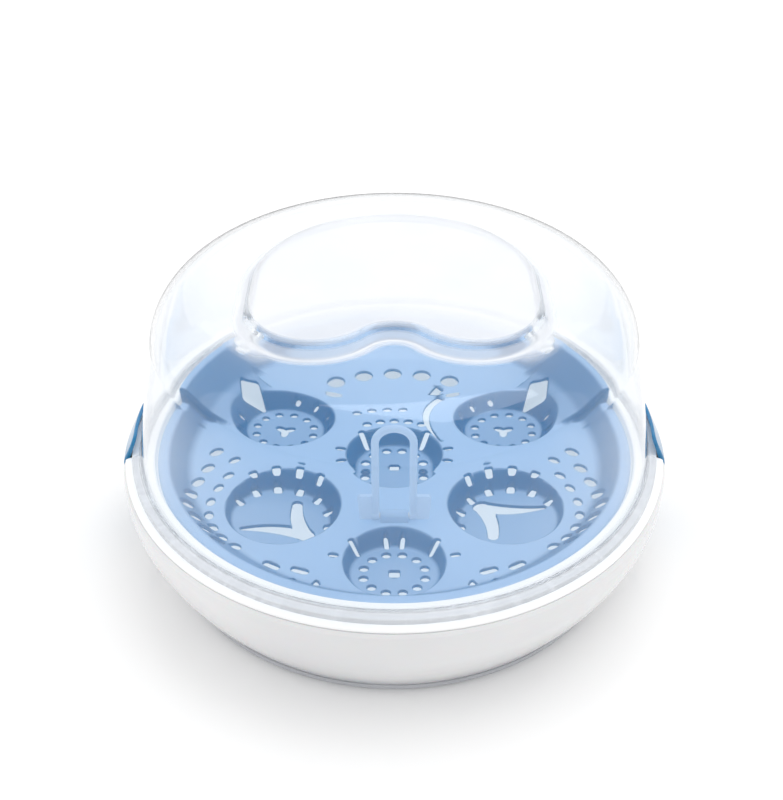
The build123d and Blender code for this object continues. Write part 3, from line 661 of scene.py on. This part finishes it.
def tray_openings():
    """Outlines of every opening in the tray, seen from above."""
    cuts = []
    for side in (-1, 1):
        rear = (side * REAR_CUP[0], REAR_CUP[1])
        flank = (side * SIDE_CUP[0], SIDE_CUP[1])
        turn = 0 if side > 0 else 180
        for k in range(12):
            cuts.append(spun(oval(2.1, 2.1), around(rear, 16.5, 30 * k + 15)))
        for k in range(11):
            cuts.append(spun(oval(2.0, 2.0), around(rear, 25.6, turn + side * (105 + 27 * k))))
        for k in range(3):
            a = 120 * k + 25
            cuts.append(spun(oval(4.2, 2.2), around(rear, 1.9, a), a))
        place = (side * CORNER_SLOT[0], CORNER_SLOT[1])
        cuts.append(spun(four_sided(13.0, 10.1, 14.0, 1.6, 22), place, -side * 12))
        for k in range(7):
            a = 90 - side * (62 - 27 * k)
            cuts.append(spun(rectangle(5.2, 4.2, 1.2), around(flank, 24.6, a), a))
        for k in range(4):
            a = 90 - side * (8 - 23 * (k - 1))
            cuts.append(spun(rectangle(4.2, 4.4, 1.2), around(flank, 30.4, a), a))
        for radius, turned in OUTER_ARC:
            a = 90 - side * turned
            cuts.append(spun(oval(2.9, 3.8), held_in(around(flank, radius, a), 112.5), a))
        for radius, turned in INNER_ARC:
            a = 90 - side * turned
            cuts.append(spun(oval(2.2, 3.1), around(flank, radius, a), a))
        for x, y, lean in ((57.5, -86.5, 30), (44.0, -90.0, 20)):
            cuts.append(spun(slot_shape(9.0, 3.2), (side * x, y), side * lean))
        for x, y in ((46.5, -97.8), (36.0, -98.5)):
            drop = [(0, 2.9, 0.7), (-2.51, -1.45, 0.7), (2.51, -1.45, 0.7)]
            cuts.append(spun(rounded(drop, step=40), (side * x, y)))
        for angle in (8, -14):
            a = turn + side * angle
            cuts.append(spun(slot_shape(5.4, 2.4), around(CENTRE, 28.8, a), a))
        a = 90 - side * 42
        cuts.append(spun(slot_shape(7.0, 4.2), around(CENTRE, 24.6, a), a))
        a = 90 - side * 52
        cuts.append(spun(slot_shape(6.4, 3.4), around(FRONT_CUP, 24.6, a), a))
        a = 90 - side * 78
        cuts.append(spun(slot_shape(5.0, 2.6), around(FRONT_CUP, 29.5, a), a))
    cuts += bent_opening((-SIDE_CUP[0], SIDE_CUP[1]), -40, 37)
    cuts += bent_opening(SIDE_CUP, 136, 37)
    for k in range(12):
        cuts.append(spun(oval(2.4, 2.4), around(CENTRE, 16.0, 30 * k + 15)))
        cuts.append(spun(oval(2.2, 2.2), around(FRONT_CUP, 15.0, 30 * k + 15)))
    cuts.append(spun(rectangle(5.0, 5.0, 0.8), CENTRE))
    cuts.append(spun(rectangle(5.2, 5.2, 0.8), FRONT_CUP))
    for k in range(2):
        a = 80 + 20 * k
        cuts.append(spun(slot_shape(5.6, 2.4), around(FRONT_CUP, 22.6, a), a))
    for k in range(5):
        cuts.append(spun(oval(2.4, 2.4), around(CENTRE, 31.5, 62 + 14 * k)))
    for k in range(4):
        cuts.append(spun(oval(2.4, 2.4), around(CENTRE, 45.0, 84 + 11 * k)))
    for k in range(5):
        cuts.append(spun(oval(5.0, 5.0, 32), around(CENTRE, 73.5, 64.5 + 13.1 * k)))
    t = np.linspace(0, 1, 24)[:, None]
    ends = [np.array(around(REAR_CUP, r, a)) for r, a in
            ((46.5, 143), (45.4, 178), (42.5, 213), (41.9, 178), (41.0, 145))]
    cuts.append(np.concatenate([through(t, *ends[:3]), through(t, *ends[2:])[1:]]))
    return cuts


def cup_profile(low, high, grow):
    """Height over the cup's floor by distance from its axis; grow gives the skin below."""
    slope = (high - low) / CUP_DEPTH
    wide = low + 0.9 * grow
    return rounded([(-1, -grow, 0), (wide, -grow, 2.5 + grow), (wide + slope * (70 + grow), 70, 0)],
                   closed=False, step=4)


def cup_height(points, spec, grow):
    """Height of a tapered, tilted cup over each point of the plan."""
    (px, py), floor, low, high, about_x, about_y = spec
    ax, ay = math.radians(about_x), math.radians(about_y)
    rx = np.array(((1, 0, 0), (0, math.cos(ax), -math.sin(ax)), (0, math.sin(ax), math.cos(ax))))
    ry = np.array(((math.cos(ay), 0, math.sin(ay)), (0, 1, 0), (-math.sin(ay), 0, math.cos(ay))))
    turn = rx @ ry
    profile = cup_profile(low, high, grow)
    z = np.full(len(points), 6.0)
    if not about_x and not about_y:
        d = np.hypot(points[:, 0] - px, points[:, 1] - py)
        return floor + np.interp(d, profile[:, 0], profile[:, 1])
    for _ in range(40):
        local = np.column_stack([points[:, 0] - px, points[:, 1] - py, z]) @ turn
        d = np.hypot(local[:, 0], local[:, 1])
        want = np.interp(d, profile[:, 0], profile[:, 1])
        z = z + 0.6 * (want - local[:, 2]) / turn[2, 2]
    return floor + z


def corner_weight(points):
    """1 inside a raised corner, 0 outside, with a soft step at its ends."""
    angle = np.degrees(np.arctan2(points[:, 1], points[:, 0]))
    weight = np.zeros(len(points))
    for start, end in CORNERS:
        t = np.clip(np.minimum(angle - start, end - angle) / SIDE_SLOPE, 0, 1)
        weight = np.maximum(weight, t * t * (3 - 2 * t))
    return weight


def tray_base(points, under):
    """Height of the tray without its cups: flat, then a ramp, higher in the raised corners."""
    r = np.hypot(points[:, 0], points[:, 1])
    if under:
        ramp = rounded([(0, LAND - 2, 0), (107.3, LAND - 2, 4), (117.6, 57.6, 1.0), (122.5, 57.8, 0)],
                       closed=False)
        peak = rounded([(90, 46.7, 0), (94.1, LAND - 1.2, 0), (104.9, 54.1, 8), (118.6, 67.0, 0.8),
                        (122.5, 67.0, 0)], closed=False, step=4)
    else:
        ramp = rounded([(0, LAND, 0), (106.5, LAND, 5), (116.4, 60.0, 2.2), (122.5, 60.0, 0)],
                       closed=False, step=4)
        peak = rounded([(86, 47.0, 0), (92, LAND, 0), (104, 56.0, 9), (117.2, 69.0, 1.8), (122.5, 69.0, 0)],
                       closed=False, step=4)
    low = np.interp(r, ramp[:, 0], ramp[:, 1])
    high = np.interp(r, peak[:, 0], peak[:, 1])
    lifted = smooth_max(low, high, 1.6)
    return low + (lifted - low) * corner_weight(points)


def tray_top(points):
    z = tray_base(points, False)
    for spec in CUPS:
        z = smooth_min(z, cup_height(points, spec, 0.0), 1.1)
    return z


def tray_under(points):
    z = tray_base(points, True)
    for spec in CUPS:
        z = smooth_min(z, cup_height(points, spec, 2.0), 0.8)
    return z


def rim_angles():
    """Angles round the tray's edge in degrees, with close ones where a raised corner ends."""
    share = np.array((0.0, 0.25, 0.5, 0.75, 1.0)) * SIDE_SLOPE
    steps = [np.arange(0, 360, 0.75)]
    for start, end in CORNERS:
        steps += [start + share, end - share]
    return np.unique(np.round(np.concatenate(steps), 5))


def structure_points(angles):
    """Rows of points round each cup, close together across its wall, and round the ramp."""
    spacing = 1.35
    rows = []
    for place, _, low, high, _, _ in CUPS:
        count = int(2 * math.pi * high / spacing)
        turns = np.arange(count) * 360 / count
        for distance in np.concatenate([np.arange(low - 2.8, high + 2.9, 0.62), [high + 4.4]]):
            rows.append(ring(distance, turns) + place)
    for radius in RAMP_ROWS:
        rows.append(ring(radius, angles[::2] if radius < 110 else angles))
    points = np.concatenate(rows)
    points = points[np.hypot(points[:, 0], points[:, 1]) < TRAY_EDGE - 0.9]
    return thinned(points, math.sqrt(0.2))


def thinned(points, gap):
    """Leaves out every point that lies closer than gap to one already kept."""
    kept = []
    cells = {}
    for p in points:
        column, row = (int(math.floor(v / gap)) for v in p)
        beside = [q for dx in (-1, 0, 1) for dy in (-1, 0, 1) for q in cells.get((column + dx, row + dy), ())]
        if all((p[0] - q[0]) ** 2 + (p[1] - q[1]) ** 2 >= gap * gap for q in beside):
            cells.setdefault((column, row), []).append(p)
            kept.append(p)
    return np.array(kept)


def buried_points(cuts, k):
    """Which points of one opening's outline lie inside an opening beside it."""
    cut = cuts[k]
    beside = [c for m, c in enumerate(cuts) if m != k and np.linalg.norm(c.mean(0) - cut.mean(0)) < 36]
    return in_any(cut, beside)


def visible_rims(cuts, buried):
    """Close-spaced points along the edge of every opening."""
    rims = []
    for k, cut in enumerate(cuts):
        spots = sampled(cut)
        if buried[k].any():
            spots = spots[~in_any(spots, cuts[:k] + cuts[k + 1:])]
        rims.append(spots)
    return np.concatenate(rims)


def rows_round(cut, buried):
    """Points just outside one opening, for its rounded edge."""
    ahead = np.roll(cut, -1, 0)
    along = ahead - np.roll(cut, 1, 0)
    along /= np.linalg.norm(along, axis=1)[:, None]
    out = np.column_stack([along[:, 1], -along[:, 0]])
    if np.sum(cut[:, 0] * ahead[:, 1] - cut[:, 1] * ahead[:, 0]) < 0:
        out = -out
    return np.concatenate([(cut + out * distance)[~buried] for distance in (0.12, 0.3, 0.55)])


def rim_strip(verts, faces, edge, top, under):
    """Closes the tray's outer edge with rows of points from its top to its underside."""
    angle = np.degrees(np.arctan2(edge[:, 1], edge[:, 0]))
    order = np.argsort(angle)
    angle, top, under = angle[order], top[order], under[order]
    over = ((120.4, 0.0), (120.9, 0.02), (121.25, 0.14), (121.55, 0.36), (121.74, 0.68), (121.8, 1.05))
    below = ((121.8, 58.6), (121.8, 56.7), (121.68, 56.38), (121.4, 56.24), (120.3, 56.24),
             (120.0, 56.34), (119.8, 56.7))
    rows = [(radius, top - drop) for radius, drop in over]
    rows += [(radius, np.full(len(angle), height)) for radius, height in below]
    rows = [(TRAY_EDGE, top)] + rows + [(TRAY_EDGE, under)]
    first = sum(len(v) for v in verts)
    verts += [np.column_stack([ring(radius, angle), z]) for radius, z in rows]
    faces += grid_faces(len(rows), len(angle), False, True, first)


def paint_recess_shade(shell, edge_distance):
    """Painted shade: steep walls and cup floors get a deeper blue, standing in for the occlusion that the
    light-passing tray loses; the edges of openings darken too, partly as thick plastic seen edge-on.
    """
    co = np.array([v.co for v in shell.data.vertices]) / MM
    plan = co[:, :2]
    reach = 0.35
    east, north = np.array((reach, 0)), np.array((0, reach))
    slope = np.hypot(tray_top(plan + east) - tray_top(plan - east),
                     tray_top(plan + north) - tray_top(plan - north)) / (2 * reach)
    steep = np.clip(slope / 1.3, 0, 1)
    sunk = np.clip((LAND - co[:, 2]) / 13, 0, 1)
    edge = np.clip(1 - edge_distance(plan) / 0.42, 0, 1)
    # painted shade: darker where the wall is steep, where the cup is sunk and next to an opening's edge
    painted_shade = np.clip(0.95 * steep + 0.38 * sunk + edge, 0, 1)
    deep = shell.data.attributes.new("deep", "FLOAT", "POINT")
    deep.data.foreach_set("value", painted_shade.astype(np.float32))


def make_tray():
    """One plan triangulation lifted to the tray's top and to its underside, joined at every edge."""
    pitch = 2.1
    wall, rounding = 1.25, 0.5
    cuts = tray_openings()
    buried = [buried_points(cuts, k) for k in range(len(cuts))]
    edge_distance = nearest_to(visible_rims(cuts, buried))
    angles = rim_angles()

    def clear_of(points, gap):
        points = points[~in_any(points, cuts)]
        return points[edge_distance(points) > gap]

    structure = clear_of(structure_points(angles), 0.75)
    halo = clear_of(np.concatenate([rows_round(c, b) for c, b in zip(cuts, buried)]), 0.08)
    fill = clear_of(hex_points(TRAY_EDGE - 1.2, pitch), 1.3)
    fill = fill[nearest_to(structure)(fill) > pitch * 0.55]
    flat, faces = triangulate(
        [ring(TRAY_EDGE, angles)] + cuts, np.concatenate([structure, halo, fill]),
        lambda p: in_any(p, cuts) | (np.hypot(p[:, 0], p[:, 1]) > TRAY_EDGE))

    inset = np.minimum(edge_distance(flat), rounding)
    fall = rounding - np.sqrt(np.maximum(0, rounding ** 2 - (rounding - inset) ** 2))
    top = tray_top(flat)
    under = np.minimum(tray_under(flat), top - wall) + 0.6 * fall
    top = top - fall
    verts = [np.column_stack([flat, top]), np.column_stack([flat, under])]
    count = len(flat)
    all_faces = faces.tolist() + (faces[:, ::-1] + count).tolist()
    on_rim = np.hypot(flat[:, 0], flat[:, 1]) > TRAY_EDGE - 0.02
    for i, j in open_edges(faces):
        if not (on_rim[i] and on_rim[j]):
            all_faces.append([j, i, i + count, j + count])
    rim_strip(verts, all_faces, flat[on_rim], top[on_rim], under[on_rim])
    shell = build("tray_shell", np.concatenate(verts), all_faces, "tray", tray_blue, sharp=0,
                  stands_for=["tray"])
    # paints shade into the tray's colour through its deep attribute
    paint_recess_shade(shell, edge_distance)


def disc(centre, radius, degrees):
    return [around(centre, radius, t) for t in degrees]


HINGE = (-54.0, 52.8)                   # the handle's pivot, in Y and Z
LEG = 9.1                               # from the middle of the handle to the middle of a leg


def make_hinge_block():
    y = HINGE[0]
    outline = [(y + 3.0, 49.4), (y + 2.75, 50.6)] + disc(HINGE, 2.6, range(0, 181, 12))
    outline += [(y - 2.75, 50.6), (y - 3.0, 49.4)]
    extruded("tray_hinge_block", outline, -6.85, 6.85, lambda u, v, d: (d, u, v),
             "tray", tray_blue, 0.4)


make_tray()
make_hinge_block()

# ---- tray handle


def make_arch():
    """The loop: an oblong section carried up one leg, over and down the other."""
    thick, deep = 3.7, 3.4
    foot, top = 53.4, 107.0 - thick / 2 - LEG
    path = [(-LEG, z) for z in np.linspace(foot, top, 18)]
    path += [(LEG * math.cos(t), top + LEG * math.sin(t)) for t in np.linspace(math.pi, 0, 33)[1:-1]]
    path += [(LEG, z) for z in np.linspace(top, foot, 18)]
    path = np.array(path)
    section = four_sided(thick, thick, deep, 1.3, 18)
    ahead = np.gradient(path, axis=0)
    ahead /= np.linalg.norm(ahead, axis=1)[:, None]
    verts = [(x - tz * u, HINGE[0] + v, z + tx * u)
             for (x, z), (tx, tz) in zip(path, ahead) for u, v in section]
    count = len(section)
    faces = grid_faces(len(path), count, False, True)
    faces += [list(range(count)), list(range((len(path) - 1) * count, len(path) * count))]
    build("handle_arch", verts, faces, "handle", handle_blue, sharp=50,
          stands_for=["tray_handle"])


def make_handle():
    make_arch()
    half_leg, half_ear = 1.85, 1.2
    inner = LEG - 0.4
    for side, word in SIDES:
        corners = ((inner, 50.75, 0.4), (16.9, 50.75, 0.8), (17.9, 64.0, 1.4), (16.7, 65.4, 1.2),
                   (inner, 65.4, 0.4))
        ear = rounded([(side * x, z, radius) for x, z, radius in corners], step=14)
        extruded(f"handle_ear_{word}", ear, HINGE[0] - half_ear, HINGE[0] + half_ear,
                 lambda u, v, d: (u, d, v), "handle", handle_blue, 0.45)
        extruded(f"handle_foot_{word}", disc(HINGE, 2.3, range(0, 360, 12)), side * LEG - half_leg,
                 side * LEG + half_leg, lambda u, v, d: (d, u, v), "handle", handle_blue, 0.35)


make_handle()

# ---- lid
LID_TURNS = 540
LID_NOTCH = 9.4                         # degrees that the flange is cut back either side of a clip's middle
CAP_EDGE = 84.0                         # where the lathed wall meets the plan mesh of the top
CAP_TOP, CAP_UNDER = 152.0, 150.0       # at the axis
GRIP_TOP = 157.4
WALL_FOOT = (131.2, 63.2)
SHOULDER_Z = 150.6
SHOULDER_R = WALL_FOOT[0] - 0.2 * (SHOULDER_Z - WALL_FOOT[1])
CAP_FALL = (CAP_TOP - SHOULDER_Z) / SHOULDER_R


def kidney(grow):
    """Closed outline of the hand grip: rear arc, two lobes, hollow front."""
    lobe_x, lobe_y, lobe_r = 36.0, -31.0, 30.0
    rear_y, front = -5.0, -45.5
    rise = lobe_y - front
    hollow = (lobe_x ** 2 + rise ** 2 - lobe_r ** 2) / (2 * (lobe_r - rise))
    hollow_y = front - hollow
    reach = lobe_r + grow
    rear = lobe_x + lobe_r + grow
    lean = math.atan2(lobe_y - hollow_y, lobe_x)

    def arc(x, y, radius, start, end, count):
        return [(x + radius * math.cos(t), y + radius * math.sin(t)) for t in np.linspace(start, end, count)]

    out = arc(0, rear_y, rear, 0, math.pi, 150)
    out += [(-rear, y) for y in np.linspace(rear_y, lobe_y, 20)[1:-1]]
    out += arc(-lobe_x, lobe_y, reach, math.pi, 2 * math.pi - lean, 60)
    out += arc(0, hollow_y, hollow - grow, math.pi - lean, lean, 50)[1:-1]
    out += arc(lobe_x, lobe_y, reach, lean - math.pi, 0, 60)
    out += [(rear, y) for y in np.linspace(lobe_y, rear_y, 20)[1:-1]]
    return np.array(out)


def subdivided(path, longest):
    """The path with points added so that no step is much longer than longest."""
    out = [path[0]]
    for p, q in zip(path[:-1], path[1:]):
        parts = max(1, int(np.linalg.norm(q - p) / longest))
        out += [p + (q - p) * k / parts for k in range(1, parts + 1)]
    return np.array(out)


def lid_wall():
    """Section of the lid's wall and flange, from the outside of the top round to its inside."""
    return subdivided(rounded([
        (CAP_EDGE, CAP_TOP - CAP_FALL * CAP_EDGE, 0), (SHOULDER_R, SHOULDER_Z, 26.3), (*WALL_FOOT, 1.6),
        (135.0, 63.2, 0.9), (135.0, 60.2, 0.3), (128.3, 60.2, 0.3), (128.3, 62.8, 0.4), (129.1, 64.4, 0.6),
        (SHOULDER_R - 2.0, SHOULDER_Z - 2.0, 24.3), (CAP_EDGE, CAP_UNDER - CAP_FALL * CAP_EDGE, 0)],
        closed=False, step=3), 9)


def lid_top(outline, depth):
    """Plan mesh of the top, with the height of its upper and lower face at every point."""
    loops = [kidney(grow) for grow in np.arange(-6.0, 9.1, 0.55)]
    free = hex_points(CAP_EDGE - 2.5, 3.6)
    away = depth(free)
    free = free[(away > 10.5) | (away < -7.5)]
    free = np.concatenate([free] + [loop for loop in loops])
    free = free[np.hypot(free[:, 0], free[:, 1]) < CAP_EDGE - 1.0]
    boundary = ring(CAP_EDGE, lid_turns)
    flat, faces = triangulate([boundary], free, lambda p: np.hypot(p[:, 0], p[:, 1]) > CAP_EDGE)
    r = np.hypot(flat[:, 0], flat[:, 1])
    away = depth(flat)
    plain = (away > 12) | (r > CAP_EDGE - 0.01)
    r = np.where(r > CAP_EDGE - 0.01, CAP_EDGE, r)
    over = rounded([(-60, GRIP_TOP, 0), (0, GRIP_TOP, 3.0), (6.6, 149.3, 0)], closed=False, step=3)
    below = rounded([(-60, GRIP_TOP - 2, 0), (-2, GRIP_TOP - 2, 1.6), (4.8, 146.1, 0)], closed=False, step=3)
    heights = []
    for section, crown, blend in ((over, CAP_TOP, 0.9), (below, CAP_UNDER, 1.4)):
        cap = crown - CAP_FALL * r
        grip = smooth_max(np.interp(away, section[:, 0], section[:, 1]), cap, blend)
        heights.append(np.where(plain, cap, grip))
    return flat, faces, heights


def mark_frost(lid, depth):
    """The grip's flat top, its walls and the flange are frosted; the wall clouds a little downwards."""
    co = np.array([v.co for v in lid.data.vertices]) / MM
    z = co[:, 2]
    gap = depth(co[:, :2])
    rear = np.clip((co[:, 1] + 38) / 14, 0, 1)
    flat_top = np.where(z > 150.5, np.clip((2.4 * rear - gap - 0.6) / 1.2, 0, 1), 0)
    grip_wall = np.clip((gap - 1.6) / 1.0, 0, 1) * np.clip((8.6 - gap) / 2.0, 0, 1)
    low = np.clip((136 - z) / 34, 0, 1)
    share = np.max([flat_top, np.where(z > 144, 0.8 * grip_wall, 0),
                    0.04 * low * low * (3 - 2 * low), 0.95 * np.clip((64.6 - z) / 1.2, 0, 1)], axis=0)
    frost = lid.data.attributes.new("frost", "FLOAT", "POINT")
    frost.data.foreach_set("value", share.astype(np.float32))


lid_turns, lid_weight = notch_columns(LID_TURNS, LID_NOTCH)


def make_lid():
    """The lathed wall and the plan mesh of the top share one ring of points and close into one piece."""
    wall = lid_wall()
    notched = wall.copy()
    notched[:, 0] = np.where(wall[:, 1] < 67.2, np.minimum(wall[:, 0], 131.35), wall[:, 0])
    outline = kidney(0.0)
    to_outline = nearest_to(sampled(outline))

    def depth(points):
        """Distance outside the grip's outline, negative inside it."""
        distance = to_outline(points)
        return np.where(inside(points, outline), -distance, distance)

    flat, faces, (top, low) = lid_top(outline, depth)
    wall_verts = lathe(wall, lid_turns, notched, lid_weight)
    first = len(wall_verts)
    verts = np.concatenate([wall_verts, np.column_stack([flat, top]), np.column_stack([flat, low])])
    all_faces = grid_faces(len(wall), len(lid_turns), False, True)
    all_faces += (faces + first).tolist() + (faces[:, ::-1] + first + len(flat)).tolist()
    lid = build("lid_shell", verts, all_faces, "lid", lid_clear, sharp=55, stands_for=["lid"])
    mark_frost(lid, depth)


make_lid()

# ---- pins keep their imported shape
for name in ("handle_pin", "clip_pin_left", "clip_pin_right"):
    nodes[name].data.materials.clear()
    nodes[name].data.materials.append(pin_natural)

# ---- floor, lights, camera


def make_floor():
    m = Nodes("floor_white")
    tint = m.ramp(m.noise(1.2, 1.0), (0.93, 0.93, 0.93), (0.95, 0.95, 0.95))
    shader = m.add("BsdfPrincipled", Base_Color=tint, Roughness=m.spread(m.noise(3.0, 2.0), 0.10, 0.14),
                   Specular_IOR_Level=0.5)
    material = m.finish(shader.outputs["BSDF"])
    mesh = bpy.data.meshes.new("floor")
    mesh.from_pydata([(-6, -6, 0), (6, -6, 0), (6, 6, 0), (-6, 6, 0)], [], [(0, 1, 2, 3)])
    mesh.materials.append(material)
    floor = placed("floor", mesh)
    floor.location = (0, 0, -0.0002)


def point(thing, place, aim):
    thing.location = place
    thing.rotation_euler = (Vector(aim) - Vector(place)).to_track_quat("-Z", "Y").to_euler()


def area_light(name, place, aim, size, power):
    """A soft rectangular lamp; place, aim and size are metres, power is watts."""
    light = bpy.data.lights.new(name, "AREA")
    light.shape = "RECTANGLE"
    light.size, light.size_y = size
    light.energy = power
    lamp = placed(name, light)
    point(lamp, place, aim)


def studio_world():
    world = bpy.data.worlds.new("studio")
    bpy.context.scene.world = world
    world.use_nodes = True
    background = world.node_tree.nodes["Background"]
    background.inputs["Color"].default_value = (1, 1, 1, 1)
    background.inputs["Strength"].default_value = 1.0
    bpy.context.scene.view_settings.view_transform = "Standard"


def photo_camera():
    distance, tilt = 0.5994, math.radians(37.53)
    aim = Vector((0, 0, 0.060))
    data = bpy.data.cameras.new("camera")
    data.lens = 51.416
    data.shift_x = -0.00354
    data.shift_y = 0.0434
    camera = placed("camera", data)
    point(camera, aim + distance * Vector((0, -math.cos(tilt), math.sin(tilt))), aim)
    bpy.context.scene.camera = camera


make_floor()
area_light("key_light", (0.3, 0.3, 1.6), (0, 0, 0.05), (1.2, 0.9), 5)
area_light("left_light", (-1.5, -0.3, 0.9), (0, 0, 0.08), (0.7, 1.4), 1.6)
area_light("right_light", (1.5, -0.3, 0.9), (0, 0, 0.08), (0.7, 1.4), 1.2)
area_light("rear_light", (0, 1.6, 0.9), (0, 0, 0.08), (2.0, 0.7), 1.5)

studio_world()
photo_camera()
